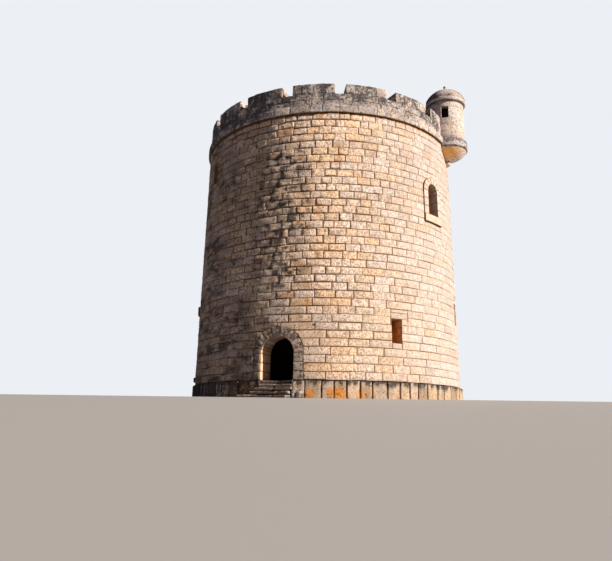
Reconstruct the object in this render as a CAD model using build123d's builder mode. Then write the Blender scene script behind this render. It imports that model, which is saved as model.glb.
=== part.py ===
from build123d import *
from math import asin, ceil, cos, radians, sin
import os

# A round stone watch tower, in millimetres, standing on z = 0 with its axis on Z and its door facing -Y.
# An azimuth is an angle round the axis from the door, growing toward +X.

# Steps and plinth
riser = 170
step_risers = 5
tread = 300
plinth_projection = 165
plinth_pieces = 4

# Wall of the tower, in courses of equal height, leaning in toward its head
course_height = 366
wall_courses = 35
foot_radius = 7015
batter = 265
wall_thickness = 1115
ledge = 100
floor_thickness = 250
turn = 360
widest_segment = 60
head_radius = foot_radius - batter
room_radius = foot_radius - wall_thickness
upper_room_radius = room_radius + ledge
plinth_radius = foot_radius + plinth_projection
plinth_height = riser * step_risers
wall_bottom = plinth_height
wall_top = wall_bottom + course_height * wall_courses


def wall_radius(height):
    """Outer radius of the battered wall at a height."""
    share = (height - wall_bottom) / (wall_top - wall_bottom)
    return foot_radius - batter * share


# Doorway with its arch of dressed stone
door_azimuth = 0
door_width = 1600
door_springing = 1200
door_band = 420
shoulder = 200
door_inner = door_width / 2
door_outer = door_inner + door_band

# Slit windows, which climb round the tower by equal angles and rises
slit_count = 7
slit_lower_count = 4
slit_start = 0.4
slit_pitch = 45.3
slit_width = 530
slit_height = 1120
slit_first_sill = 1735
slit_rise = 1458
lintel_height = 280
lintel_left = 320
lintel_right = 620
lintel_depth = 350


def slit_azimuth(number):
    """Azimuth of a slit window."""
    return slit_start + slit_pitch * number


def slit_sill(number):
    """Height of a slit window's sill above ground."""
    return wall_bottom + slit_first_sill + slit_rise * (number - 1)


# The storeys meet at the head of the last slit window of the lower room
storey_level = slit_sill(slit_lower_count) + slit_height

# Arched windows of the upper room, one of them on the far side
window_azimuth = 68.6
window_count = 2
window_width = 870
window_sill_top = 8355
window_springing = 1255
window_band = 330
window_proud = 70
sill_height = 400
sill_proud = 110
window_inner = window_width / 2
window_outer = window_inner + window_band
window_foot = wall_bottom + window_sill_top

# Two stones that jut from the left of the wall, one over the other: width, height and level of each
jut_azimuth = -62.5
jut_stones = [(300, 250, 190), (520, 460, 3750)]
jut_proud = 120
jut_depth = 350
jut_rounding = 50

# Ring moulding, terrace, parapet and merlons
ring_projection = 100
terrace_bearing = 200
parapet_setback = 120
parapet_thickness = 750
parapet_height = 664
parapet_pieces = 4
merlon_height = 510
merlon_count = 16
merlon_gap = 4.7
merlon_start = 1.1
ring_radius = head_radius + ring_projection
terrace_radius = upper_room_radius + terrace_bearing
parapet_outer = ring_radius - parapet_setback
parapet_inner = parapet_outer - parapet_thickness
ring_top = wall_top + course_height
parapet_top = ring_top + parapet_height
parapet_pitch = turn / parapet_pieces
merlon_pitch = turn / merlon_count

# Sentry turret on the right, half outside the wall
turret_reach = 100
turret_outer = 945
turret_thickness = 250
turret_height = 2150
turret_ring_projection = 155
turret_ring_drop = 100
corbel_inset = 50
corbel_depth = 520
corbel_foot = 230
bowl_share = 0.62
pendant_radius = 190
pendant_height = 250
turret_door_azimuth = -90
turret_door_width = 600
turret_door_height = 1500
loophole_azimuths = [5, 175]
loophole_width = 360
loophole_height = 650
loophole_sill = 1190
cornice_height = 270
cornice_projection = 150
cornice_share = 0.55
cap_projection = 115
cap_band = 130
cap_rise = 650
cap_thickness = 170
finial_radius = 90
finial_height = 350
finial_neck = 55
turret_offset = head_radius + turret_reach
turret_inner = turret_outer - turret_thickness
turret_ring = turret_outer + turret_ring_projection
corbel_radius = turret_ring - corbel_inset
cornice_radius = turret_outer + cornice_projection
cap_radius = turret_outer + cap_projection
turret_top = ring_top + turret_height
cornice_top = turret_top + cornice_height
cap_spring = cornice_top + cap_band
cap_top = cap_spring + cap_rise

# How far a cutting shape runs past what it cuts, and the half angle of the wall worked on round an opening
clear = 400
around = 15


def upright(azimuth):
    """Plane through the axis: x runs outward along the azimuth and y runs up."""
    turned = radians(azimuth)
    return Plane(
        origin=(0, 0, 0),
        x_dir=(sin(turned), -cos(turned), 0),
        z_dir=(-cos(turned), -sin(turned), 0),
    )


def facing(azimuth, height, reach=0):
    """Plane at a distance from the axis that faces outward along the azimuth: y runs up from the height."""
    turned = radians(azimuth)
    return Plane(
        origin=(reach * sin(turned), -reach * cos(turned), height),
        x_dir=(cos(turned), sin(turned), 0),
        z_dir=(sin(turned), -cos(turned), 0),
    )


turret_plane = Plane(origin=(turret_offset, 0, 0), x_dir=(1, 0, 0), z_dir=(0, -1, 0))
turret_axis = Axis((turret_offset, 0, 0), (0, 0, 1))
far = plinth_radius + clear


slits = range(1, slit_count + 1)
lower_slits = slits[:slit_lower_count]
upper_slits = slits[slit_lower_count:]
windows = [window_azimuth + turn / window_count * number for number in range(window_count)]


def finish(shape, name):
    """Names a piece and writes it."""
    shape.label = name
    export_step(shape, f"parts/{name}.step")


os.makedirs("parts", exist_ok=True)

# Solid floor of the lower room
with BuildPart() as ground_floor:
    with BuildSketch():
        Circle(room_radius)
    extrude(amount=plinth_height)
finish(ground_floor.part, "ground_floor")

# Plinth in four pieces, open in front of the doorway
plinth_pitch = turn / plinth_pieces
for number in range(plinth_pieces):
    with BuildPart() as plinth:
        with BuildSketch(upright(number * plinth_pitch)):
            with Locations(((room_radius + plinth_radius) / 2, plinth_height / 2)):
                Rectangle(plinth_radius - room_radius, plinth_height)
        revolve(axis=Axis.Z, revolution_arc=plinth_pitch)
        with BuildSketch(facing(door_azimuth, 0)):
            Rectangle(door_width, plinth_height * 2)
        extrude(amount=far, mode=Mode.SUBTRACT)
    finish(plinth.part, f"plinth_{number + 1}")

# Threshold stone and first step, between the ends of the plinth
threshold_front = plinth_radius - tread
with BuildPart() as threshold:
    with BuildSketch(facing(door_azimuth, 0)):
        with Locations((0, plinth_height / 2)):
            Rectangle(door_width, plinth_height)
    extrude(amount=threshold_front)
    with BuildSketch():
        Circle(room_radius)
    extrude(amount=plinth_height, mode=Mode.SUBTRACT)
finish(threshold.part, "threshold")

step_top = plinth_height - riser
with BuildPart() as step_1:
    with BuildSketch(facing(door_azimuth, 0)):
        with Locations((0, step_top / 2)):
            Rectangle(door_width, step_top)
    extrude(amount=far)
    with BuildSketch():
        Circle(plinth_radius)
        Circle(threshold_front - tread, mode=Mode.SUBTRACT)
    extrude(amount=plinth_height, mode=Mode.INTERSECT)
    with BuildSketch(Plane.XZ):
        Rectangle(door_width * 2, plinth_height * 2)
    extrude(amount=threshold_front, mode=Mode.SUBTRACT)
finish(step_1.part, "step_1")

# Slabs of the outer steps, each wider than the one over it
step_right = 900
step_lefts = [870, 960, 1420]
for number, step_left in enumerate(step_lefts):
    slab_top = step_top - riser * (number + 1)
    slab_front = plinth_radius + tread * (number + 1)
    with BuildPart() as step:
        with BuildSketch(Plane.XY.offset(slab_top)):
            with Locations(((step_right - step_left) / 2, -slab_front / 2)):
                Rectangle(step_left + step_right, slab_front)
            Circle(plinth_radius, mode=Mode.SUBTRACT)
        extrude(amount=-riser)
    finish(step.part, f"step_{number + 2}")

# Rough block beside the steps
cheek_width = 480
cheek_height = 520
cheek_reach = 420
cheek_chamfer = 80
with BuildPart() as cheek:
    with BuildSketch():
        with Locations((step_right + cheek_width / 2, -(plinth_radius + cheek_reach) / 2)):
            Rectangle(cheek_width, plinth_radius + cheek_reach)
        Circle(plinth_radius, mode=Mode.SUBTRACT)
    extrude(amount=cheek_height)
    chamfer(cheek.faces().sort_by(Axis.Z)[-1].edges().sort_by(Axis.Y)[0], cheek_chamfer)
finish(cheek.part, "step_cheek")


def door_outline(half_width):
    """Round-headed outline of the doorway or of its dressed stones."""
    with BuildSketch(facing(door_azimuth, wall_bottom)) as outline:
        with Locations((0, door_springing / 2)):
            Rectangle(half_width * 2, door_springing)
        with Locations((0, door_springing)):
            Circle(half_width)
    return outline.sketch


def window_outline(azimuth, half_width, foot):
    """Round-headed outline of an arched window or of its dressed stones."""
    height = window_foot + window_springing - foot
    with BuildSketch(facing(azimuth, foot)) as outline:
        with Locations((0, height / 2)):
            Rectangle(half_width * 2, height)
        with Locations((0, height)):
            Circle(half_width)
    return outline.sketch


def slit_outline(number):
    """Outline of a slit window."""
    with BuildSketch(facing(slit_azimuth(number), slit_sill(number))) as outline:
        with Locations((0, slit_height / 2)):
            Rectangle(slit_width, slit_height)
    return outline.sketch


def lintel_back(number):
    """Distance from the axis to the back of the stone over a slit window."""
    return wall_radius(slit_sill(number) + slit_height) - lintel_depth


def lintel_outline(number):
    """Outline of the stone over a slit window, longer on its right."""
    foot = slit_sill(number) + slit_height
    with BuildSketch(facing(slit_azimuth(number), foot, lintel_back(number))) as outline:
        with Locations(((lintel_right - lintel_left) / 2, lintel_height / 2)):
            Rectangle(lintel_left + lintel_right, lintel_height)
    return outline.sketch


def jut_outline(width, height, level):
    """Outline of a jutting stone, on a plane at its back."""
    foot = wall_bottom + level
    with BuildSketch(facing(jut_azimuth, foot, wall_radius(foot) - jut_depth)) as outline:
        with Locations((0, height / 2)):
            Rectangle(width, height)
    return outline.sketch


def wall_profile(azimuth, inner, bottom, top, proud=0):
    """Upright section of the wall between two heights."""
    with BuildSketch(upright(azimuth)) as profile:
        with BuildLine():
            Polyline(
                (inner, bottom),
                (wall_radius(bottom) + proud, bottom),
                (wall_radius(top) + proud, top),
                (inner, top),
                close=True,
            )
        make_face()
    return profile.sketch


def column(azimuth, half_width, foot):
    """Outline of an upright strip of the wall from a height up, centred on an azimuth."""
    with BuildSketch(facing(azimuth, foot)) as outline:
        with Locations((0, wall_top / 2)):
            Rectangle(half_width * 2, wall_top)
    return outline.sketch


def edges(marks):
    """Azimuths where wall pieces meet: the marks, with wide stretches between them shared out evenly."""
    ordered = sorted(mark % turn for mark in marks)
    pairs = zip(ordered, ordered[1:] + [ordered[0] + turn])
    found = []
    for start, stop in pairs:
        pieces = ceil((stop - start) / widest_segment)
        found += [(start + (stop - start) * i / pieces, (stop - start) / pieces) for i in range(pieces)]
    return found


def near(start, span, azimuth):
    """Whether an opening at an azimuth can touch the wall piece that begins at a start."""
    return (azimuth - start + around) % turn < span + around * 2


def wall_piece(start, span, inner, bottom, top):
    """Piece of wall with its lintels cut out, between two heights."""
    with BuildPart() as piece:
        revolve(wall_profile(start, inner, bottom, top), axis=Axis.Z, revolution_arc=span)
        for slit in slits:
            if near(start, span, slit_azimuth(slit)):
                extrude(lintel_outline(slit), amount=lintel_depth + clear, mode=Mode.SUBTRACT)
    return piece.part


# Lower wall in pieces that meet at the doorway and at the slit windows
arch_foot = wall_bottom + door_springing
lower_edges = edges([door_azimuth] + [slit_azimuth(slit) for slit in lower_slits])
for number, (start, span) in enumerate(lower_edges):
    with BuildPart() as lower_wall:
        add(wall_piece(start, span, room_radius, wall_bottom, storey_level))
        if near(start, span, door_azimuth):
            extrude(column(door_azimuth, door_outer, 0), amount=far, mode=Mode.SUBTRACT)
            extrude(column(door_azimuth, door_outer + shoulder, arch_foot), amount=far, mode=Mode.SUBTRACT)
        for slit in lower_slits:
            if near(start, span, slit_azimuth(slit)):
                extrude(column(slit_azimuth(slit), slit_width / 2, 0), amount=far, mode=Mode.SUBTRACT)
        if near(start, span, jut_azimuth):
            for stone in jut_stones:
                extrude(jut_outline(*stone), amount=jut_depth + clear, mode=Mode.SUBTRACT)
    finish(lower_wall.part, f"lower_wall_{number + 1}")

# Wall over the doorway, with shoulders beside the arch
with BuildPart() as wall_over_door:
    add(wall_piece(door_azimuth - around, around * 2, room_radius, arch_foot, storey_level))
    extrude(column(door_azimuth, door_outer + shoulder, 0), amount=far, mode=Mode.INTERSECT)
    extrude(door_outline(door_outer), amount=far, mode=Mode.SUBTRACT)
finish(wall_over_door.part, "wall_over_door")

# Upper wall, set back inside by the ledge, in pieces that meet at its windows
window_shoulder = window_foot + window_springing
upper_edges = edges(windows + [slit_azimuth(slit) for slit in upper_slits])
for number, (start, span) in enumerate(upper_edges):
    with BuildPart() as upper_wall:
        add(wall_piece(start, span, upper_room_radius, storey_level, wall_top))
        for window in windows:
            if near(start, span, window):
                extrude(column(window, window_outer, 0), amount=far, mode=Mode.SUBTRACT)
                extrude(column(window, window_outer + shoulder, window_shoulder), amount=far, mode=Mode.SUBTRACT)
        for slit in upper_slits:
            if near(start, span, slit_azimuth(slit)):
                extrude(column(slit_azimuth(slit), slit_width / 2, 0), amount=far, mode=Mode.SUBTRACT)
    finish(upper_wall.part, f"upper_wall_{number + 1}")


def slit_column(number):
    """Wall under and over a slit window, between the ends of its neighbours."""
    azimuth = slit_azimuth(number)
    lower = number in lower_slits
    inner = room_radius if lower else upper_room_radius
    bottom = wall_bottom if lower else storey_level
    top = storey_level if lower else wall_top
    with BuildPart() as stack:
        add(wall_piece(azimuth - around, around * 2, inner, bottom, top))
        extrude(column(azimuth, slit_width / 2, 0), amount=far, mode=Mode.INTERSECT)
        extrude(slit_outline(number), amount=far, mode=Mode.SUBTRACT)
    return stack.part


def window_column(azimuth):
    """Wall under an arched window, and over it with shoulders beside its arch."""
    foot = window_foot - sill_height
    with BuildPart() as stack:
        add(wall_piece(azimuth - around, around * 2, upper_room_radius, storey_level, wall_top))
        extrude(column(azimuth, window_outer + shoulder, 0), amount=far, mode=Mode.INTERSECT)
        extrude(side_strips(azimuth), amount=far, mode=Mode.SUBTRACT)
        extrude(window_outline(azimuth, window_outer, foot), amount=far, mode=Mode.SUBTRACT)
    return stack.part


def side_strips(azimuth):
    """Outlines of the two strips beside an arched window, which belong to the wall pieces there."""
    with BuildSketch(facing(azimuth, 0)) as outline:
        with Locations(
            (-window_outer - shoulder, window_shoulder / 2), (window_outer + shoulder, window_shoulder / 2)
        ):
            Rectangle(shoulder * 2, window_shoulder)
    return outline.sketch


with BuildPart() as slit_columns:
    for slit in slits:
        add(slit_column(slit))
finish(slit_columns.part, "slit_columns")

with BuildPart() as window_columns:
    for window in windows:
        add(window_column(window))
finish(window_columns.part, "window_columns")

# Floor of the upper room, on the ledge of the wall
with BuildPart() as upper_floor:
    with BuildSketch(Plane.XY.offset(storey_level)):
        Circle(upper_room_radius)
    extrude(amount=floor_thickness)
finish(upper_floor.part, "upper_floor")

# Dressed stones of the doorway, as deep as the wall
with BuildPart() as door_frame:
    profile = wall_profile(door_azimuth - around, room_radius, wall_bottom, arch_foot + door_outer + clear)
    revolve(profile, axis=Axis.Z, revolution_arc=around * 2)
    extrude(door_outline(door_outer), amount=far, mode=Mode.INTERSECT)
    extrude(door_outline(door_inner), amount=far, mode=Mode.SUBTRACT)
for side, name in ((Keep.TOP, "door_arch"), (Keep.BOTTOM, "door_jambs")):
    with BuildPart() as stones:
        add(door_frame.part)
        split(bisect_by=Plane.XY.offset(arch_foot), keep=side)
    finish(stones.part, name)


def lintel_stone(number):
    """Stone over a slit window, flush with the wall."""
    foot = slit_sill(number) + slit_height
    with BuildPart() as stone:
        profile = wall_profile(slit_azimuth(number) - around, room_radius, foot, foot + lintel_height)
        revolve(profile, axis=Axis.Z, revolution_arc=around * 2)
        extrude(lintel_outline(number), amount=lintel_depth + clear, mode=Mode.INTERSECT)
    return stone.part


# Stones over the slit windows
with BuildPart() as slit_lintels:
    for slit in slits:
        add(lintel_stone(slit))
finish(slit_lintels.part, "slit_lintels")

# Jutting stones, rounded where they stand out of the wall
jut_axis = Axis((0, 0, 0), facing(jut_azimuth, 0).z_dir)


def jutting_stone(stone):
    """One stone that juts from the wall."""
    with BuildPart() as block:
        extrude(jut_outline(*stone), amount=jut_depth + jut_proud)
        fillet(block.faces().sort_by(jut_axis)[-1].edges(), jut_rounding)
    return block.part


with BuildPart() as jutting_stones:
    for stone in jut_stones:
        add(jutting_stone(stone))
finish(jutting_stones.part, "jutting_stones")


def window_block(azimuth, foot, head, proud):
    """Piece of wall round a window, standing proud of the wall's face."""
    with BuildPart() as block:
        profile = wall_profile(azimuth - around, upper_room_radius, foot, head, proud)
        revolve(profile, axis=Axis.Z, revolution_arc=around * 2)
    return block.part


def surround_stones(azimuth):
    """Dressed stones beside and over an arched window."""
    head = window_foot + window_springing + window_outer + clear
    with BuildPart() as stones:
        add(window_block(azimuth, window_foot, head, window_proud))
        extrude(window_outline(azimuth, window_outer, window_foot), amount=far, mode=Mode.INTERSECT)
        extrude(window_outline(azimuth, window_inner, window_foot), amount=far, mode=Mode.SUBTRACT)
    return stones.part


def sill_stone(azimuth):
    """Sill of an arched window."""
    with BuildPart() as stone:
        add(window_block(azimuth, window_foot - sill_height, window_foot, sill_proud))
        with BuildSketch(facing(azimuth, window_foot)):
            Rectangle(window_outer * 2, sill_height * 2)
        extrude(amount=far, mode=Mode.INTERSECT)
    return stone.part


# Dressed stones and sills of the arched windows
with BuildPart() as window_surrounds:
    for window in windows:
        add(surround_stones(window))
finish(window_surrounds.part, "window_surrounds")

with BuildPart() as window_sills:
    for window in windows:
        add(sill_stone(window))
finish(window_sills.part, "window_sills")


def turret_disc(radius, bottom, height):
    """Upright cylinder on the axis of the sentry turret."""
    with BuildPart() as disc:
        with BuildSketch(Plane.XY.offset(bottom)):
            with Locations((turret_offset, 0)):
                Circle(radius)
        extrude(amount=height)
    return disc.part


# Ring moulding and terrace, cut round the ring of the sentry turret
with BuildPart() as string_course:
    with BuildSketch(Plane.XY.offset(wall_top)):
        Circle(ring_radius)
        Circle(terrace_radius, mode=Mode.SUBTRACT)
    extrude(amount=course_height)
    add(turret_disc(turret_ring, wall_top, course_height), mode=Mode.SUBTRACT)
finish(string_course.part, "string_course")

with BuildPart() as terrace:
    with BuildSketch(Plane.XY.offset(wall_top)):
        Circle(terrace_radius)
    extrude(amount=course_height)
    add(turret_disc(turret_ring, wall_top, course_height), mode=Mode.SUBTRACT)
finish(terrace.part, "terrace")

# Parapet in four pieces
for number in range(parapet_pieces):
    with BuildPart() as parapet:
        with BuildSketch(upright(number * parapet_pitch)):
            with Locations(((parapet_inner + parapet_outer) / 2, ring_top + parapet_height / 2)):
                Rectangle(parapet_outer - parapet_inner, parapet_height)
        revolve(axis=Axis.Z, revolution_arc=parapet_pitch)
        add(turret_disc(turret_outer, ring_top, turret_height), mode=Mode.SUBTRACT)
    finish(parapet.part, f"parapet_{number + 1}")

# Merlons, with a gap over the door
with BuildPart() as merlons:
    for number in range(merlon_count):
        with BuildSketch(upright(merlon_start + number * merlon_pitch + merlon_gap / 2)):
            with Locations(((parapet_inner + parapet_outer) / 2, parapet_top + merlon_height / 2)):
                Rectangle(parapet_outer - parapet_inner, merlon_height)
        revolve(axis=Axis.Z, revolution_arc=merlon_pitch - merlon_gap)
    add(turret_disc(turret_outer, ring_top, turret_height), mode=Mode.SUBTRACT)
finish(merlons.part, "merlons")


def turret_facing(azimuth, height):
    """Plane on the axis of the sentry turret that faces along the azimuth: y runs up from the height."""
    turned = facing(azimuth, height)
    return Plane(origin=(turret_offset, 0, height), x_dir=turned.x_dir, z_dir=turned.z_dir)


def crown(radius, rise, top):
    """Point halfway along the arc of a dome that springs at a radius and rises to its top."""
    curve = (radius**2 + rise**2) / (2 * rise)
    half = asin(radius / curve) / 2
    return (curve * sin(half), top - curve + curve * cos(half))


# Body of the wall, to cut what stands against its face
with BuildPart() as wall_body:
    revolve(wall_profile(0, 0, wall_top - corbel_depth * 2, wall_top), axis=Axis.Z)

# Corbel under the sentry turret, a bowl against the face of the wall
corbel_top = wall_top - turret_ring_drop
corbel_bottom = corbel_top - corbel_depth
with BuildPart() as turret_corbel:
    with BuildSketch(turret_plane):
        with BuildLine():
            Line((0, corbel_bottom), (corbel_foot, corbel_bottom))
            ThreePointArc(
                (corbel_foot, corbel_bottom),
                (
                    corbel_foot + (corbel_radius - corbel_foot) * bowl_share,
                    corbel_top - corbel_depth * bowl_share,
                ),
                (corbel_radius, corbel_top),
            )
            Polyline((corbel_radius, corbel_top), (0, corbel_top), (0, corbel_bottom))
        make_face()
    revolve(axis=turret_axis)
    add(wall_body.part, mode=Mode.SUBTRACT)
finish(turret_corbel.part, "turret_corbel")

# Knob that hangs under the corbel
with BuildPart() as turret_pendant:
    with BuildSketch(turret_plane):
        with BuildLine():
            ThreePointArc(
                (pendant_radius / 2, corbel_bottom),
                (pendant_radius, corbel_bottom - pendant_height / 2),
                (0, corbel_bottom - pendant_height),
            )
            Polyline(
                (0, corbel_bottom - pendant_height),
                (0, corbel_bottom),
                (pendant_radius / 2, corbel_bottom),
            )
        make_face()
    revolve(axis=turret_axis)
    add(wall_body.part, mode=Mode.SUBTRACT)
finish(turret_pendant.part, "turret_pendant")

# Floor of the sentry turret, which carries the ring moulding round it and hangs a little below it outside
with BuildPart() as turret_ring_stone:
    add(turret_disc(turret_ring, corbel_top, turret_ring_drop + course_height))
    add(wall_body.part, mode=Mode.SUBTRACT)
finish(turret_ring_stone.part, "turret_ring")

# Wall of the sentry turret, with its doorway to the terrace and two loopholes along the wall
with BuildPart() as turret_body:
    add(turret_disc(turret_outer, ring_top, turret_height))
    add(turret_disc(turret_inner, ring_top, turret_height), mode=Mode.SUBTRACT)
    with BuildSketch(turret_facing(turret_door_azimuth, ring_top)):
        Rectangle(turret_door_width, turret_door_height * 2)
    extrude(amount=turret_outer + clear, mode=Mode.SUBTRACT)
    for azimuth in loophole_azimuths:
        with BuildSketch(turret_facing(azimuth, ring_top + loophole_sill + loophole_height / 2)):
            Rectangle(loophole_width, loophole_height)
        extrude(amount=turret_outer + clear, mode=Mode.SUBTRACT)
finish(turret_body.part, "turret_wall")

# Rolled cornice round the head of the sentry turret
with BuildPart() as turret_cornice:
    with BuildSketch(turret_plane):
        with BuildLine():
            Line((turret_inner, turret_top), (turret_outer, turret_top))
            ThreePointArc(
                (turret_outer, turret_top),
                (cornice_radius, turret_top + cornice_height * cornice_share),
                (cap_radius, cornice_top),
            )
            Polyline((cap_radius, cornice_top), (turret_inner, cornice_top), (turret_inner, turret_top))
        make_face()
    revolve(axis=turret_axis)
finish(turret_cornice.part, "turret_cornice")

# Shallow dome over the sentry turret, a shell on a low band
with BuildPart() as turret_cap:
    with BuildSketch(turret_plane):
        with BuildLine():
            Line((turret_inner, cornice_top), (cap_radius, cornice_top))
            Line((cap_radius, cornice_top), (cap_radius, cap_spring))
            ThreePointArc((cap_radius, cap_spring), crown(cap_radius, cap_rise, cap_top), (0, cap_top))
            Line((0, cap_top), (0, cap_top - cap_thickness))
            ThreePointArc(
                (0, cap_top - cap_thickness),
                crown(turret_inner, cap_rise - cap_thickness, cap_top - cap_thickness),
                (turret_inner, cap_spring),
            )
            Line((turret_inner, cap_spring), (turret_inner, cornice_top))
        make_face()
    revolve(axis=turret_axis)
finish(turret_cap.part, "turret_dome")

# Finial on the dome, a short neck and a ball
finial_foot = cap_top - finial_neck
ball_centre = cap_top + finial_height - finial_radius
with BuildPart() as turret_finial:
    with Locations((turret_offset, 0, (finial_foot + ball_centre) / 2)):
        Cylinder(finial_neck, ball_centre - finial_foot)
    with Locations((turret_offset, 0, ball_centre)):
        Sphere(finial_radius)
    add(turret_cap.part, mode=Mode.SUBTRACT)
finish(turret_finial.part, "turret_finial")
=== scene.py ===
import math
from functools import partialmethod

import bpy
import numpy as np
from mathutils import Matrix, Vector


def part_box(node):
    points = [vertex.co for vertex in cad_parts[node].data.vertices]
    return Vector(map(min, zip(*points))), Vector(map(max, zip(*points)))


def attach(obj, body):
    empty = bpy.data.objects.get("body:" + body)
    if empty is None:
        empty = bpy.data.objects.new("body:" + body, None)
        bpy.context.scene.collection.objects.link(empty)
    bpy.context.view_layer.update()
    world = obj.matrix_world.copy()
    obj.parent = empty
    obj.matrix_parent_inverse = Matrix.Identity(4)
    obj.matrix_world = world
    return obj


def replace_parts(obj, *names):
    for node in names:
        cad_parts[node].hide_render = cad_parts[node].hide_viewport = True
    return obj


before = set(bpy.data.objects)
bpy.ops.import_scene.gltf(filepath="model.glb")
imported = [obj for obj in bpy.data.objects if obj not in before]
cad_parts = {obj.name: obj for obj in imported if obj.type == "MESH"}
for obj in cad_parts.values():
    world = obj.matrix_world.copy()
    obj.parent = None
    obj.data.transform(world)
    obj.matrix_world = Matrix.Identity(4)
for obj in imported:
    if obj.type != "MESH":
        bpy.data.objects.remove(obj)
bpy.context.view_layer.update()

rng = np.random.default_rng(11)


def drum(node):
    """Axis, radius, foot and head of a round node beside the tower."""
    low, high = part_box(node)
    return high.x - (high.y - low.y) / 2, (high.y - low.y) / 2, low.z, high.z


# Sizes taken from the frame, in metres
PLINTH_R = -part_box("plinth_3")[0].x
PLINTH_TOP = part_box("plinth_3")[1].z
WALL_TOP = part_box("string_course")[0].z
RING_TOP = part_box("string_course")[1].z
RING_R = -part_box("string_course")[0].x
PARAPET_R = -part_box("parapet_3")[0].x
PARAPET_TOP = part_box("parapet_3")[1].z
MERLON_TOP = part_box("merlons")[1].z
ROOM_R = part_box("ground_floor")[1].x
UPPER_ROOM_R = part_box("upper_floor")[1].x
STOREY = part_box("upper_floor")[0].z
DOOR_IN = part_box("threshold")[1].x
DOOR_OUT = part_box("door_jambs")[1].x
DOOR_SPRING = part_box("door_jambs")[1].z
STEP_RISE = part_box("step_4")[1].z
TURRET_X, TURRET_R, _, TURRET_TOP = drum("turret_wall")
TURRET_RING_R, TURRET_RING_FOOT, TURRET_RING_TOP = drum("turret_ring")[1:]
CORBEL_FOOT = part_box("turret_corbel")[0].z
PENDANT_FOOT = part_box("turret_pendant")[0].z
CORNICE_R, _, CORNICE_TOP = drum("turret_cornice")[1:]
CAP_R, _, CAP_TOP = drum("turret_dome")[1:]
FINIAL_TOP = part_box("turret_finial")[1].z

# Sizes that no node's box gives, in metres and degrees
FOOT_R, HEAD_R = 7.015, 6.75
COURSES = 35
COURSE = (WALL_TOP - PLINTH_TOP) / COURSES
PARAPET_DEPTH, PARAPET_ROWS = 0.75, 2
PARAPET_IN = PARAPET_R - PARAPET_DEPTH
SLIT_COUNT, SLIT_START, SLIT_PITCH, SLIT_RISE = 7, 0.4, 45.3, 1.458
SLIT_SILL, SLIT_W, SLIT_H, SLIT_ROWS = 1.735, 0.53, 1.12, 3
LINTEL_LEFT, LINTEL_RIGHT, LINTEL_H, LINTEL_DEPTH, LINTEL_PROUD = 0.32, 0.62, 0.28, 0.3, 0.02
DOOR_PROUD, DOOR_WEDGES, WINDOW_WEDGES, JAMB_ROWS = 0.034, 15, 7, 3
WINDOW_AZ, WINDOW_FOOT = (68.6, 248.6), PLINTH_TOP + 8.355
WINDOW_SPRING = WINDOW_FOOT + 1.255
WINDOW_IN, WINDOW_OUT, WINDOW_DEPTH = 0.435, 0.765, 0.6
WINDOW_PROUD, SILL_PROUD, SILL_H = 0.07, 0.11, 0.4
JUT_AZ, JUT_STONES = -62.5, ((0.30, 0.25, 0.19), (0.52, 0.46, 3.75))
JUT_IN, JUT_DEPTH = 0.1, 0.23
MERLONS, MERLON_START, MERLON_GAP = 16, 1.1, 4.7
MERLON_PITCH = 360 / MERLONS
TURRET_DOOR_TOP, LOOPHOLE_FOOT, LOOPHOLE_TOP = 1.50, 1.19, 1.84
TURRET_LEVELS = (0.0, 0.40, 0.80, LOOPHOLE_FOOT, TURRET_DOOR_TOP, LOOPHOLE_TOP, 2.15)
TURRET_DOOR, LOOPHOLES = (-90.0, 0.30), ((5.0, 0.18), (175.0, 0.18))
TURRET_IN, TURRET_RING_OUT, TURRET_RING_BEVEL = 0.695, 0.155, 0.07
CORBEL_IN, CORBEL_BOWL, CORBEL_TOE, PENDANT_R = 0.05, 0.62, 0.23, 0.19
CORNICE_SHARE, CAP_BAND = 0.55, 0.13
FINIAL_R, FINIAL_NECK = 0.09, 0.055
PLINTH_STONE_W, PLINTH_STONE_DEPTH = (3.9, 6.2), 0.36
CAMERA_AZ = 18.65

# Length of a degree and of the whole turn along the wall
ARC = (FOOT_R + HEAD_R) / 2 * math.pi / 180
TURN = 360 * ARC

# Joints between whole stones, and how far they stand past their solids
JOINT, OVERLAP, SKIN = 0.008, 0.006, 0.022

# Azimuth and sill of each slit window
SLITS = [(SLIT_START + SLIT_PITCH * (k + 1), PLINTH_TOP + SLIT_SILL + SLIT_RISE * k)
         for k in range(SLIT_COUNT)]


def wall_r(z):
    """Radius of the leaning wall's face at a height."""
    return FOOT_R + (HEAD_R - FOOT_R) * (z - PLINTH_TOP) / (WALL_TOP - PLINTH_TOP)


def points(x, y, z):
    return np.stack(np.broadcast_arrays(x, y, z), -1)


def spot(a, r, z):
    """Points from azimuths in degrees, radii and heights."""
    t = np.radians(a)
    return points(r * np.sin(t), -r * np.cos(t), z)


def sideways(azim, x, r, z):
    """Points at a distance r from the axis along an azimuth and x to its side."""
    s, c = math.sin(math.radians(azim)), math.cos(math.radians(azim))
    return points(r * s + x * c, x * s - r * c, z)


def at_wall(azim, x, out, z):
    """The place of a whole stone x to the side of an opening's middle and out from the wall's face."""
    def place(p):
        side, level = x + p[..., 0], z + p[..., 2]
        reach = wall_r(level) + (out + p[..., 1])
        return sideways(azim, side, np.sqrt(reach ** 2 - side ** 2), level)

    return place


def at_ring(arc, u, r, z):
    """The place of a whole stone on an upright cylinder, where a degree is arc long."""
    return lambda p: spot((u + p[..., 0]) / arc, r + p[..., 1], z + p[..., 2])


# Numbers that scatter the corners of the noise's grid, and the bits that are kept
SCATTER = (374761393, 668265263, 1274126177, 974634777)
BITS = 0x7FFFFFFF


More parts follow.
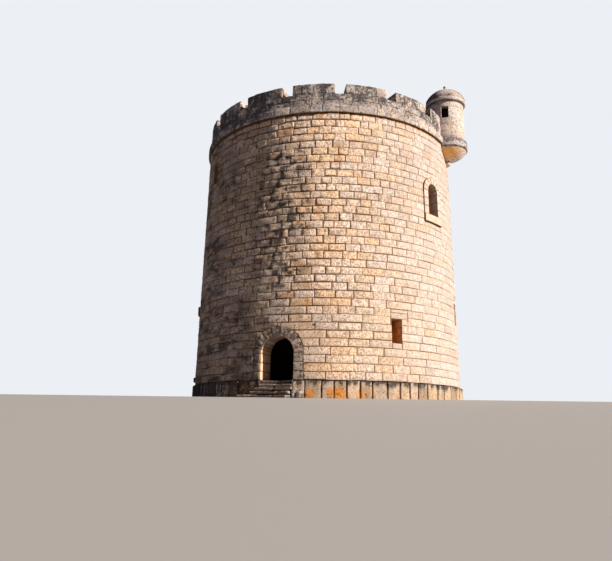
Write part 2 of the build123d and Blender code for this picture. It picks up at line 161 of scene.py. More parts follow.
def corner(i, j, k, seed):
    """A scattered value from 0 to 1 for a corner of the noise's grid."""
    h = sum(n * scatter for n, scatter in zip((i, j, k, seed), SCATTER)) & BITS
    h = ((h ^ (h >> 13)) * SCATTER[2]) & BITS
    return ((h ^ (h >> 16)) & 0xFFFF) / 0xFFFF


def noise(p, size, seed=0):
    """Smooth noise from -1 to 1 at points, with lumps of a size in metres."""
    q = np.moveaxis(p / size, -1, 0)
    i = np.floor(q).astype(np.int64)
    f = q - i
    x, y, z = zip(1 - f * f * (3 - 2 * f), f * f * (3 - 2 * f))
    total = 0
    for dx, dy, dz in np.ndindex(2, 2, 2):
        total = total + x[dx] * y[dy] * z[dz] * corner(i[0] + dx, i[1] + dy, i[2] + dz, seed)
    return total * 2 - 1


def patches(p, size, seed):
    """The same noise from 0 to 1."""
    return 0.5 + 0.5 * noise(p, size, seed)


def smooth(x, a, b):
    """0 up to a, 1 from b on and a soft rise between."""
    t = np.clip((x - a) / (b - a), 0, 1)
    return t * t * (3 - 2 * t)


def below(x, a, b):
    """1 up to a, 0 from b on and a soft fall between."""
    return 1 - smooth(x, a, b)


def near(a, centre, half):
    """1 at an azimuth, falling to 0 at a distance of half."""
    return below(np.abs((a - centre + 180) % 360 - 180), 0, half)


def placed(name, data):
    """A new object in the scene."""
    obj = bpy.data.objects.new(name, data)
    bpy.context.scene.collection.objects.link(obj)
    return obj


class Pile:
    """Stones gathered into one mesh, each with its own colour."""

    def __init__(self):
        self.verts, self.quads, self.tints, self.count = [], [], [], 0

    def add(self, grid, tint, edge=1.0, flip=False):
        """A grid of points as faces. edge is 0 at a stone's edge and 1 inside it."""
        n, m = grid.shape[:2]
        ids = np.arange(n * m).reshape(n, m) + self.count
        quads = np.stack([ids[:-1, :-1], ids[1:, :-1], ids[1:, 1:], ids[:-1, 1:]], -1).reshape(-1, 4)
        self.quads.append(quads[:, ::-1] if flip else quads)
        self.verts.append(grid.reshape(-1, 3))
        inner = np.broadcast_to(edge, (n, m)).reshape(-1, 1)
        self.tints.append(np.hstack([np.tile(tint, (n * m, 1)), inner]))
        self.count += n * m

    def build(self, name, mat, marking, slot):
        """The pile as one object, with the marks at points that its maker gives: dark, orange, grey and
        rugged, some of them painted light and shade.
        """
        v = np.concatenate(self.verts).astype(np.float32)
        mesh = bpy.data.meshes.new(name)
        mesh.from_pydata(v, [], np.concatenate(self.quads), shade_flat=False)
        dark, orange, grey, rugged = (*marking(v.astype(float)), 1.0)[:4]
        stains = np.clip(np.broadcast_arrays(dark, orange, grey), 0, 1)
        marks = np.stack([*stains, np.broadcast_to(rugged, len(v))], -1)
        for key, values in (("stone", np.concatenate(self.tints)), ("marks", marks)):
            layer = mesh.color_attributes.new(key, "FLOAT_COLOR", "POINT")
            layer.data.foreach_set("color", values.astype(np.float32).ravel())
        mesh.materials.append(mat)
        obj = placed(name, mesh)
        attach(obj, "root")
        return obj


# Lines of points close to a stone's edge, the breadth of its bevel, and how far the edge's stain reaches
EDGE = (0.007, 0.03)
BEVEL_W = 0.045
EDGE_STAIN = 0.055
TINY = 1e-6


def lines(length, step, edge=EDGE):
    """Places along a stone: close together at its edges and a step apart inside."""
    edge = [e * min(1, length / 0.16) for e in edge]
    count = max(1, round((length - 2 * edge[-1]) / step))
    inside = np.linspace(edge[-1], length - edge[-1], count + 1)
    return np.concatenate([[0], edge[:-1], inside, [length - e for e in edge[-2::-1]], [length]])


def drop(s, width, depth):
    """How far a stone's face lies back at a distance from its edge."""
    return -depth * (1 - np.clip(s / width, 0, 1)) ** 2


def face(pile, place, u0, u1, v0, v1, tint, proud=0.016, gap=0.008, rough=0.004, step=0.11, bevel=0.008,
         flip=False, fade=0.0, seed=0):
    """A stone's face on a surface: place(u, v, out) gives points. u0 and u1 may be functions of v."""
    gaps = gap * rng.choice((0.15, 0.9, 1.6), 4)
    closed = gaps < gap * 0.5
    v0, v1 = v0 + gaps[2], v1 - gaps[3]
    vs = v0 + lines(v1 - v0, step)
    left = np.array([u0(v) if callable(u0) else u0 for v in vs]) + gaps[0]
    right = np.array([u1(v) if callable(u1) else u1 for v in vs]) - gaps[1]
    width = (right - left).max()
    if (right - left).mean() < 0.035:
        return
    us = (lines(width, step) / width)[:, None]
    skew_left, skew_right, skew_foot, skew_head = rng.uniform(-0.004, 0.004, 4)
    u = left + (right - left) * us
    v = np.tile(vs, (len(us), 1))
    tilt = (us - 0.5) * 2
    rise = ((vs - v0) / (v1 - v0) - 0.5) * 2
    u = u + rise * (skew_left * (1 - us) + skew_right * us)
    v = v + tilt * (skew_foot * (1 - rise) + skew_head * (1 + rise)) / 2
    across = np.maximum(right - left, 0.01)
    sides = np.broadcast_arrays(us * across, (1 - us) * across, vs - v0, v1 - vs)
    rim = np.minimum.reduce(sides) < TINY
    s = np.minimum.reduce([side + 0.035 * shut for side, shut in zip(sides, closed)])
    flat = place(u, v, proud)
    chip = 1 + 0.7 * noise(flat, 0.13, seed + 5)
    wave = rough * (noise(flat, 0.23, seed + 1) + 0.6 * noise(flat, 0.09, seed + 2))
    lean = rng.uniform(-0.55, 0.55, 2) * rough
    out = proud + drop(s, BEVEL_W, bevel) * chip + wave + lean[0] * tilt + lean[1] * rise
    out = np.where(rim, -0.004, np.maximum(out, 0.003))
    pile.add(place(u, v, out), tint, np.clip(s / EDGE_STAIN, fade, 1), flip)


def block(pile, place, size, tint, bevel=0.02, rough=0.006, step=0.12, seed=0, skip=("back",)):
    """A whole stone: place(p) maps points of a box from 0 to size, whose sides are u, out and up."""
    size = np.array(size, float)
    rad = min(bevel, size.min() * 0.4)
    grids = {
        "front": (0, 2, 1, 1, False), "back": (0, 2, 1, 0, True),
        "right": (1, 2, 0, 1, True), "left": (1, 2, 0, 0, False),
        "top": (0, 1, 2, 1, True), "bottom": (0, 1, 2, 0, False),
    }
    for side, (i, j, k, end, flip) in grids.items():
        if side in skip:
            continue
        a = lines(size[i], step, (rad * 0.35, rad))
        b = lines(size[j], step, (rad * 0.35, rad))
        p = np.zeros((len(a), len(b), 3))
        p[..., i] = a[:, None]
        p[..., j] = b
        p[..., k] = size[k] * end
        core = np.clip(p, rad, size - rad)
        away = p - core
        length = np.linalg.norm(away, axis=-1, keepdims=True)
        away = away / np.maximum(length, TINY)
        p = core + away * np.minimum(length, rad)
        world = place(p)
        push = rough * (noise(world, 0.2, seed + 3) + 0.6 * noise(world, 0.08, seed + 4) - 1.6)
        s = np.minimum(np.minimum(a, size[i] - a)[:, None], np.minimum(b, size[j] - b))
        pile.add(place(p + away * push[..., None]), tint, np.clip(s / EDGE_STAIN, 0, 1), flip)


def arc_through(start, middle, end, count):
    """Points along the circle through three points of a profile."""
    a, b, c = (complex(*point) for point in (start, middle, end))
    w = (c - a) / (b - a)
    centre = a + (b - a) * (w - abs(w) ** 2) / (2j * w.imag)
    turn = np.angle((b - centre) / (a - centre)) + np.angle((c - centre) / (b - centre))
    arc = centre + (a - centre) * np.exp(1j * np.linspace(0, turn, count))
    return list(zip(arc.real, arc.imag))


def turned(pile, profile, count, pick, proud=0.0, rough=0.003, seed=0, start=0.0, stop=360.0):
    """Stones of a moulding turned round the turret's axis, from a row of (radius, height) points."""
    outline = [np.array(profile[0], float)]
    for end in np.array(profile[1:], float):
        steps = max(1, round(np.linalg.norm(end - outline[-1]) / 0.07))
        outline += list(np.linspace(outline[-1], end, steps + 1)[1:])
    radii, heights = np.array(outline).T
    slope = np.gradient(outline, axis=0)
    slope /= np.maximum(np.linalg.norm(slope, axis=1, keepdims=True), TINY)
    marks = np.linspace(start, stop, count + 1)
    for i in range(count):
        size = math.radians(marks[i + 1] - marks[i]) * radii.max()
        us = lines(size, 0.08)
        s = np.minimum(us, size - us)[:, None]
        a = (marks[i] + np.degrees(us / radii.max()))[:, None]
        flat = spot(a, radii, heights)
        joint = np.where(s < TINY, -0.007, drop(s, 0.03, 0.005))
        push = proud + joint + rough * noise(flat, 0.14, seed)
        grid = spot(a, np.maximum(radii + push * slope[:, 1], 0), heights - push * slope[:, 0])
        pile.add(grid + [TURRET_X, 0, 0], stone(pick), np.clip(s / 0.04, 0, 1))


# Kinds of stone, as linear colours
CREAM = np.array([0.72, 0.62, 0.575])
SAND = np.array([0.72, 0.53, 0.38])
TAN = np.array([0.70, 0.44, 0.24])
ROSE = np.array([0.68, 0.53, 0.44])
GREY = np.array([0.53, 0.45, 0.38])
DARK = np.array([0.27, 0.22, 0.19])
# Painted warm bounce light on the slit windows' reveals
REVEAL_BOUNCE_LIGHT = np.array([0.86, 0.47, 0.18])
KINDS = (CREAM, SAND, TAN, ROSE, GREY, DARK)

# Shares of those kinds in each part
CREST = (2.4, 0.5, 0.0, 2.2, 2.6, 0.3)
SMOOTH = (3.0, 0.5, 0.0, 1.6, 0.4, 0.0)
WORN = (1.0, 1.0, 0.3, 1.2, 2.8, 1.0)
DOOR = (2.0, 1.6, 0.4, 2.0, 1.6, 0.3)
WINDOW = (3.5, 1.2, 0.2, 1.0, 0.3, 0.0)
PLINTH = (1.5, 1.5, 0.8, 1.8, 2.2, 0.6)


def stone(shares):
    """A stone's colour, picked among the kinds of stone and varied a little."""
    w = np.array(shares, float)
    base = KINDS[rng.choice(6, p=w / w.sum())]
    other = KINDS[rng.choice(6, p=w / w.sum())]
    return (base + (other - base) * rng.uniform(0.2, 0.7)) * rng.uniform(0.9, 1.08)


# Marks at points: dark lichen, orange stain, greying, and how rugged a face is where that varies; some dark
# and orange marks are painted light and shade, named where they are made
def azimuth(p, axis=0.0):
    return np.degrees(np.arctan2(p[..., 0] - axis, -p[..., 1]))


def wall_weather_and_ring_shadow(p):
    """Dark at the left, over the door and in streaks where the wall turns from the light, and rugged there; a
    painted shadow of the ring, dark and orange, along the wall's top.
    """
    a, z = azimuth(p), p[..., 2]
    patch = patches(p * [1, 1, 1.9], 0.9, 31)
    small = patches(p * [1, 1, 2.8], 0.33, 33)
    turn = near(a, 0, 20) * smooth(z, 3.5, 6) * below(z, 11.6, 12.6)
    streak = smooth(patches(p * [1, 1, 1.8], 0.27, 35), 0.5, 0.75) * turn
    belt = near(a, 3, 24) * smooth(z, 3.5, 6.5) * below(z, 12.2, 13.2)
    left = 0.9 * near(a, -45, 56)
    door = near(a, 2, 48) * below(z, 3.4, 5.5)
    # Painted shadow: the wall's top under the ring is darkened and turned orange.
    painted_ring_shadow = smooth(z, WALL_TOP - 0.16, WALL_TOP - 0.06)
    dark = belt * (0.15 + 0.06 * below(a, -6, 10) * patch + 0.34 * small) + door * (0.2 + 0.3 * small)
    dark = dark + left * (0.16 + 1.2 * patch * small) + 0.55 * streak + 0.8 * painted_ring_shadow
    orange = smooth(patches(p * [1, 1, 1.5], 0.45, 41), 0.5, 1.0) * (0.25 + 0.45 * near(a, 12, 30))
    grey = patches(p, 1.1, 43) * (0.25 + 0.5 * near(a, -20, 60))
    return dark, orange + painted_ring_shadow, grey, 0.5 + near(a, -25, 95)


def crest_weather(p):
    """The ring, parapet and merlons, which blacken upward and toward the left, but for the merlons' ends."""
    a, z = azimuth(p), p[..., 2]
    patch = patches(p, 0.5, 51)
    left = near(a, -60, 80)
    height = smooth(z, WALL_TOP, PARAPET_TOP)
    upward = 0.55 + 0.45 * height + 0.45 * left * (1 - height)
    dark = (0.72 + 0.34 * left - 0.06 * near(a, 75, 50)) * (0.30 + 0.95 * patch) * upward
    past_end = (a - MERLON_START) % MERLON_PITCH - (MERLON_PITCH - MERLON_GAP / 2)
    merlon_end = (past_end > -0.25) & (past_end < 0.5) & (z > PARAPET_TOP + 0.03)
    return np.where(merlon_end, 0.15 * patch, dark), 0.3 * (1 - height) * patch, 0.45 + 0.5 * patch


def plinth_weather(p):
    """The plinth, black at its head, stained orange low down on the right of the door."""
    a, z = azimuth(p), p[..., 2]
    patch = patches(p, 0.3, 61)
    streak = patches(p * [1, 1, 0.25], 0.15, 63)
    head = smooth(z / PLINTH_TOP, 1.0 - 0.6 * streak, 1.05 - 0.15 * streak)
    dark = near(a, -38, 62) * (0.4 + 0.3 * streak) + head * (0.32 + 0.4 * streak)
    dark = dark + 0.15 + 0.55 * patch * streak
    rust = smooth(patches(p * [1, 1, 0.6], 0.4, 67), 0.35, 0.75)
    orange = near(a, 22, 42) * (0.18 + 0.75 * rust) + 0.6 * near(a, 70, 70) * streak
    return dark, orange * below(z, 0.3 * PLINTH_TOP, 0.9 * PLINTH_TOP), 0.3 + 0.5 * patch


def step_weather_and_painted_light(p):
    """Dark steps with paler noses, and a paler stone at their right. The dark is partly dark stone and partly
    painted shade on the risers; the paler noses are painted light.
    """
    patch = patches(p, 0.25, 65)
    right = smooth(p[..., 0], DOOR_IN - 0.05, DOOR_IN + 0.15)
    # Painted light on each step's nose, over painted shade on the riser below it.
    painted_nose_light = smooth(p[..., 2] / STEP_RISE % 1, 0.6, 0.9)
    return (0.85 + 0.4 * patch) * (1 - 0.85 * painted_nose_light) - 0.4 * right, 0.15 * patch, 0.7


def door_weather_and_painted_light(p):
    """The doorway's stones, mottled at the face and brown within, with painted bounce light on the left
    reveal and painted shade, darker and greyer, on the shaded left.
    """
    x = p[..., 0]
    patch = patches(p, 0.4, 71)
    deep = below(np.hypot(x, p[..., 1]), FOOT_R - 0.265, FOOT_R - 0.045)
    # Painted shade: the doorway's left, in the shade, gets more dark and grey.
    shaded = below(x, -0.3, 0.9)
    # Painted bounce light: the left reveal takes the pale stain colour in full, without dark.
    reveal = smooth(-x, DOOR_IN - 0.1, DOOR_IN - 0.01) * (x > -DOOR_IN - 0.04)
    dark = (1 - deep) * (0.35 + 0.35 * patch + 0.1 * shaded) * (1 - reveal)
    return dark, reveal + 0.3 * deep * patch, (0.3 + 0.5 * patch * shaded) * (1 - reveal)


def window_weather_and_bounce_light(p):
    """Clean stones, with a painted warm bounce light, orange, deep in the wall."""
    patch = patches(p, 0.4, 75)
    deep = below(np.hypot(p[..., 0], p[..., 1]), HEAD_R - 0.15, HEAD_R + 0.05)
    return 0.2 * patch, 0.15 * patch + 0.7 * deep, 0.2 + 0.3 * patch


def turret_weather_and_painted_light(p):
    """The turret, with a stained ring and a blackened cap, painted shadow lines under the cornice and the
    ring, a painted orange bounce light on the bowl, and a painted blue-grey sky light on the shaded left.
    """
    turn, z = azimuth(p, TURRET_X), p[..., 2]
    patch = patches(p, 0.4, 81)
    small = patches(p, 0.16, 83)
    left = near(turn, -60, 90)
    cap = smooth(z, TURRET_TOP + 0.1, TURRET_TOP + 0.3) * (0.6 + 0.5 * left)
    ring = smooth(z, TURRET_RING_FOOT, TURRET_RING_FOOT + 0.1)
    ring = ring * below(z, TURRET_RING_TOP, TURRET_RING_TOP + 0.35)
    bowl = below(z, TURRET_RING_FOOT - 0.12, TURRET_RING_FOOT)
    knob = below(z, CORBEL_FOOT, CORBEL_FOOT + 0.1)
    # Painted shadow lines under the cornice and under the ring.
    painted_seam_shadows = sum(below(np.abs(z - seam), 0.02, 0.08) for seam in (TURRET_TOP + 0.03, TURRET_RING_FOOT - 0.02))
    dark = cap * (0.35 + 0.5 * patch) + ring * (0.15 + 0.35 * small)
    dark = dark + (0.2 + 0.3 * small) * patch * (1 - bowl) + 0.55 * painted_seam_shadows
    # Painted warm bounce light: orange on the bowl.
    orange = bowl * (0.15 + 1.1 * near(turn, -15, 120)) * (1 - 0.6 * knob) + 0.1 * ring
    # Greying, with a painted blue-grey sky light toward the shaded left.
    grey = (0.15 + 0.3 * patch + 0.3 * cap + 0.5 * ring + 0.7 * left) * (1 - bowl)
    return dark * (1 - knob), orange, grey


def floor_weather(p):
    """Worn slabs, a little dark and grey in patches."""
    return 0.25 + 0.3 * patches(p, 1.2, 91), 0.0, 0.7 * patches(p, 0.9, 93)


class Graph:
    """The nodes of a material or world. What a node takes in is a value or another node's output."""

    def __init__(self, owner):
        owner.use_nodes = True
        self.tree = owner.node_tree
        self.nodes = self.tree.nodes

    def feed(self, value, target):
        if isinstance(value, bpy.types.NodeSocket):
            self.tree.links.new(value, target)
        else:
            target.default_value = value

    def node(self, kind, inputs=(), **settings):
        n = self.nodes.new("ShaderNode" + kind)
        for key, value in settings.items():
            setattr(n, key, value)
        for key, value in dict(inputs).items():
            self.feed(value, n.inputs[key])
        return n

    def calc(self, op, *values):
        return self.node("Math", enumerate(values), operation=op).outputs[0]

    times = partialmethod(calc, "MULTIPLY")
    plus = partialmethod(calc, "ADD")
    minus = partialmethod(calc, "SUBTRACT")
    least = partialmethod(calc, "MINIMUM")

    def spread(self, value, a, b, c=0.0, d=1.0):
        """What lies from a to b, spread softly from c to d."""
        inputs = {"Value": value, "From Min": a, "From Max": b, "To Min": c, "To Max": d}
        return self.node("MapRange", inputs, interpolation_type="SMOOTHSTEP").outputs["Result"]

    def blend(self, amount, a, b, kind="MIX"):
        """Two colours mixed. They go into the node at 6 and 7, and come out at 2."""
        a, b = (v if isinstance(v, bpy.types.NodeSocket) else (*v, 1.0) for v in (a, b))
        inputs = {"Factor": amount, 6: a, 7: b}
        return self.node("Mix", inputs, data_type="RGBA", blend_type=kind).outputs[2]

    def lumps(self, where, size, detail, rough=0.6):
        inputs = {"Vector": where, "Scale": 1 / size, "Detail": detail, "Roughness": rough}
        return self.node("TexNoise", inputs).outputs["Fac"]

    def mottle(self, colour, mid, fine, amount, strength=1.0):
        """A colour made lighter and darker by two noises."""
        most = self.times(amount, strength)
        broad = self.times(most, self.spread(mid, 0.36, 0.64, -0.8, 0.8))
        narrow = self.times(most, self.spread(fine, 0.36, 0.64, -0.6, 0.6))
        shade = self.times(self.plus(broad, 1.0), self.plus(narrow, 1.0))
        grey = self.node("CombineColor", {i: shade for i in range(3)}).outputs[0]
        return self.blend(1.0, colour, grey, "MULTIPLY")


class Rock(Graph):
    """A bare stone material with three noises and a bump, for the two makers below."""

    def __init__(self, name, lump=0.13):
        self.mat = bpy.data.materials.new(name)
        super().__init__(self.mat)
        self.shader = self.nodes["Principled BSDF"]
        self.shader.inputs["Roughness"].default_value = 0.93
        self.shader.inputs["Specular IOR Level"].default_value = 0.2
        self.where = self.node("TexCoord").outputs["Object"]
        self.big = self.lumps(self.where, 0.8, 4.0)
        self.mid = self.lumps(self.where, lump, 7.0, 0.7)
        self.fine = self.lumps(self.where, lump * 0.5, 5.0, 0.75)

    def finish(self, colour, depth, sunk=0.0):
        """The material with its colour, and with a bump of a depth in metres."""
        height = self.plus(self.times(self.mid, 0.7), self.times(self.fine, 0.3))
        inputs = {"Strength": 0.85, "Distance": depth, "Height": self.minus(height, sunk)}
        self.feed(self.node("Bump", inputs).outputs[0], self.shader.inputs["Normal"])
        self.feed(colour, self.shader.inputs["Base Color"])
        return self.mat


WORN_EDGE, PALE_SPECK, BED_STAIN = (0.27, 0.13, 0.055), (0.62, 0.55, 0.48), (0.40, 0.19, 0.08)


def stone_material(name, lichen=(0.05, 0.042, 0.038), stain=(0.62, 0.27, 0.07), dull=(0.40, 0.345, 0.30),
                   pale=0.0, mottling=0.42, grain=1.0, wear=0.6, lump=0.13, crisp=0.04, speck_size=None):
    """Weathered stones, whose colour and weathering come from the mesh."""
    g = Rock(name, lump)
    big, mid, fine = g.big, g.mid, g.fine
    tint = g.node("Attribute", attribute_name="stone")
    marks = g.node("Attribute", attribute_name="marks")
    dark, orange, grey = g.node("SeparateColor", {0: marks.outputs["Color"]}).outputs
    rugged = marks.outputs["Alpha"]
    base = g.mottle(tint.outputs["Color"], mid, fine, mottling, rugged)
    base = g.blend(g.times(grey, g.spread(big, 0.35, 0.65, 0.25, 0.8)), base, dull)
    rust = g.times(g.spread(g.plus(g.times(orange, 0.3), mid), 0.5, 0.8), orange)
    base = g.blend(g.least(g.times(rust, 1.4), 0.85), base, stain)
    near_edge = g.minus(1.0, tint.outputs["Alpha"])
    worn = g.spread(g.plus(g.times(near_edge, 0.36), mid), 0.66, 0.84)
    base = g.blend(g.least(g.times(g.times(worn, wear), rugged), 0.9), base, WORN_EDGE)
    spots = g.plus(g.times(mid, 0.55), g.times(fine, 0.45))
    spots = g.plus(spots, g.times(g.minus(rugged, 1.0), 0.04))
    black = g.spread(g.plus(spots, g.times(dark, 0.3)), 0.67 - crisp, 0.67 + crisp)
    base = g.blend(g.times(black, 0.9), base, lichen)
    if speck_size:
        pale_specks = g.spread(g.lumps(g.where, speck_size, 5.0, 0.75), 0.54, 0.60)
    else:
        pale_specks = g.spread(g.minus(fine, g.times(mid, 0.45)), 0.33, 0.43)
    if pale:
        base = g.blend(g.times(pale_specks, pale), base, PALE_SPECK)
    return g.finish(base, g.times(rugged, 0.075 * grain))


def bed_material(name, colour, joint=None, radius=ROOM_R, centre=0.0):
    """Stone of the plain pieces, with courses drawn on it. joint colours it at the wall's outer face."""
    g = Rock(name)
    x, y, z = g.node("SeparateXYZ", {0: g.where}).outputs
    x, up = g.minus(x, centre), g.minus(z, PLINTH_TOP)
    along = g.times(g.calc("ARCTAN2", x, g.times(y, -1.0)), radius)
    flat = g.node("CombineXYZ", {0: along, 1: up}).outputs[0]
    sizes = {"Scale": 1.0, "Brick Width": COURSE * 2, "Row Height": COURSE}
    joints = {"Mortar Size": 0.012, "Mortar Smooth": 0.3}
    greys = {key: (v, v, v, 1) for key, v in (("Color1", 0.74), ("Color2", 1.0), ("Mortar", 0.4))}
    brick = g.node("TexBrick", {"Vector": flat, **sizes, **joints, **greys}).outputs
    base = g.blend(1.0, g.mottle(colour, g.mid, g.fine, 0.25), brick["Color"], "MULTIPLY")
    base = g.blend(g.spread(g.big, 0.45, 0.7, 0.0, 0.7), base, BED_STAIN)
    if joint:
        outer = g.plus(g.times(up, (HEAD_R - FOOT_R) / (WALL_TOP - PLINTH_TOP)), FOOT_R)
        r = g.calc("SQRT", g.plus(g.times(x, x), g.times(y, y)))
        base = g.blend(g.spread(g.minus(outer, r), 0.01, 0.05), joint, base)
    return g.finish(base, 0.055, g.times(brick["Fac"], 0.8))


# Materials of the stones
# Wall stones: their pale specks are partly pale stone and partly painted highlights of rugged stone catching
# the light.
ashlar = stone_material("ashlar_blocks", lichen=(0.045, 0.042, 0.042), pale=0.45, mottling=0.45, grain=1.5,
                        lump=0.145)
crest = stone_material("crest_blocks", lichen=(0.04, 0.04, 0.046), stain=(0.45, 0.22, 0.08),
                       dull=(0.35, 0.34, 0.375), pale=0.8, mottling=0.7, wear=0.3, lump=0.2, crisp=0.02,
                       speck_size=0.34)
plinth_mat = stone_material("plinth_blocks", lichen=(0.026, 0.024, 0.025), stain=(0.80, 0.30, 0.04),
                            dull=(0.40, 0.31, 0.19), pale=0.35)
# Its stain colour is the painted bounce light on the doorway's left reveal, and a stain deep within.
dressed = stone_material("dressed_blocks", stain=(0.94, 0.66, 0.42), pale=0.5)
# The window's stain colour is painted warm bounce light deep in the window, and a light stain elsewhere.
window_mat = stone_material("window_blocks", stain=(0.60, 0.33, 0.14), mottling=0.22, wear=0.25)
# Its stain colour is mainly the painted bounce light on the bowl, and its pale blue-grey dull colour is
# greying and painted sky light on the shaded left.
turret_mat = stone_material("turret_blocks", lichen=(0.06, 0.052, 0.052), stain=(0.94, 0.46, 0.10),
                            dull=(0.52, 0.51, 0.58), grain=0.7, wear=0.3)
step_mat = stone_material("step_blocks", pale=0.4)
floor_mat = stone_material("floor_slabs")

# Materials of the solids behind them, by how their names start
BEDS = (
    (("lower_wall", "upper_wall", "wall_", "slit_", "window_", "door_", "jutting"),
     bed_material("wall_bed", (0.56, 0.31, 0.15), joint=(0.20, 0.105, 0.05))),
    (("parapet", "merlons"), bed_material("crest_bed", (0.24, 0.19, 0.16))),
    # The ring's underside shows its bed, whose dark orange is painted shade with a warm bounce light.
    ("string", bed_material("ring_bed_painted_shade", (0.40, 0.22, 0.06))),
    ("turret", bed_material("turret_bed", (0.50, 0.40, 0.30), radius=TURRET_R, centre=TURRET_X)),
    ("", bed_material("slab_bed", (0.34, 0.28, 0.22))),
)
for name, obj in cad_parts.items():
    obj.data.materials.clear()
    obj.data.materials.append(next(bed for starts, bed in BEDS if name.startswith(starts)))

# What a pile of the same kind is built with: material, weathering (with painted light and shade on the
# turret) and slot
PARAPET_LOOK = (crest, crest_weather, "parapet_stone")
TURRET_LOOK = (turret_mat, turret_weather_and_painted_light, "turret_stone")

# Openings: azimuth, (left, right, bottom, top) of each rectangle, and (radius, springing) of an arch
openings = [(0.0, [(-DOOR_OUT, DOOR_OUT, PLINTH_TOP - 0.1, DOOR_SPRING)], (DOOR_OUT, DOOR_SPRING))]
for a, sill in SLITS:
    head = sill + SLIT_H
    lintel = (-LINTEL_LEFT, LINTEL_RIGHT, head, head + LINTEL_H)
    openings.append((a, [(-SLIT_W / 2, SLIT_W / 2, sill, head), lintel], None))
for a in WINDOW_AZ:
    window = (-WINDOW_OUT, WINDOW_OUT, WINDOW_FOOT - SILL_H, WINDOW_SPRING)
    openings.append((a, [window], (WINDOW_OUT, WINDOW_SPRING)))
for width, tall, level in JUT_STONES:
    openings.append((JUT_AZ, [(-width / 2, width / 2, PLINTH_TOP + level, PLINTH_TOP + level + tall)], None))


def extent(opening, z):
    """Left and right limit of an opening at a height, or None."""
    rects, arch = opening[1], opening[2]
    spans = [(left, right) for left, right, bottom, top in rects if bottom <= z <= top]
    if arch and arch[1] <= z < arch[1] + arch[0]:
        w = math.sqrt(arch[0] ** 2 - (z - arch[1]) ** 2)
        spans.append((-w, w))
    if not spans:
        return None
    return min(s[0] for s in spans), max(s[1] for s in spans)


def on_wall(u, v, out):
    return spot(u / ARC, wall_r(v) + out, v)


def to_u(a, x, z):
    """Length along the wall to a point x to the side of an azimuth."""
    return (a + math.degrees(math.asin(max(-1, min(1, x / wall_r(z)))))) * ARC


def stones_end(cut, azim, side):
    """Where a run of stones ends at an opening's left (0) or right (1) side, as a function of height."""
    def end(v):
        if cut is None:
            return azim * ARC
        limits = extent(cut[3], v) if cut[4] else cut[1:3]
        return to_u(azim, limits[side], v) if limits else azim * ARC

    return end


def wall_tint(a, z):
    """Paler stones at the right, warmer ones beside the door and darker, more varied ones at the left.
    Painted light brightens them where the wall turns from the key light and dims them on the lit right.
    """
    right, middle, left = (near(a, centre, half) for centre, half in ((85, 75), (10, 34), (-60, 70)))
    tan = (0.4 + 0.4 * smooth(z, 3.0, 9.0)) * (1 - right) + 1.6 * middle
    colour = stone((1.5 + 5 * right, 2.2 - right, tan, 2.0, 1.0 - right, 0.1))
    even = CREAM * right + SAND * (1 - right)
    vary = 1 + rng.uniform(-0.22, 0.18) * left
    # Painted light: brighter where the wall turns from the key light, darker on the lit right; also darker at
    # the left.
    return (colour * 0.6 + even * 0.4) * (1 + 0.34 * middle - 0.14 * left - 0.17 * right) * vary


def wall_wear(a, z):
    """How far the weather has eaten a stone: most over the door, where the wall turns from the light."""
    belt = near(a, 10, 42) * smooth(z, 2.0, 7.0)
    return min(1.0, (0.15 + 0.85 * belt) * rng.uniform(0.3, 1.3))


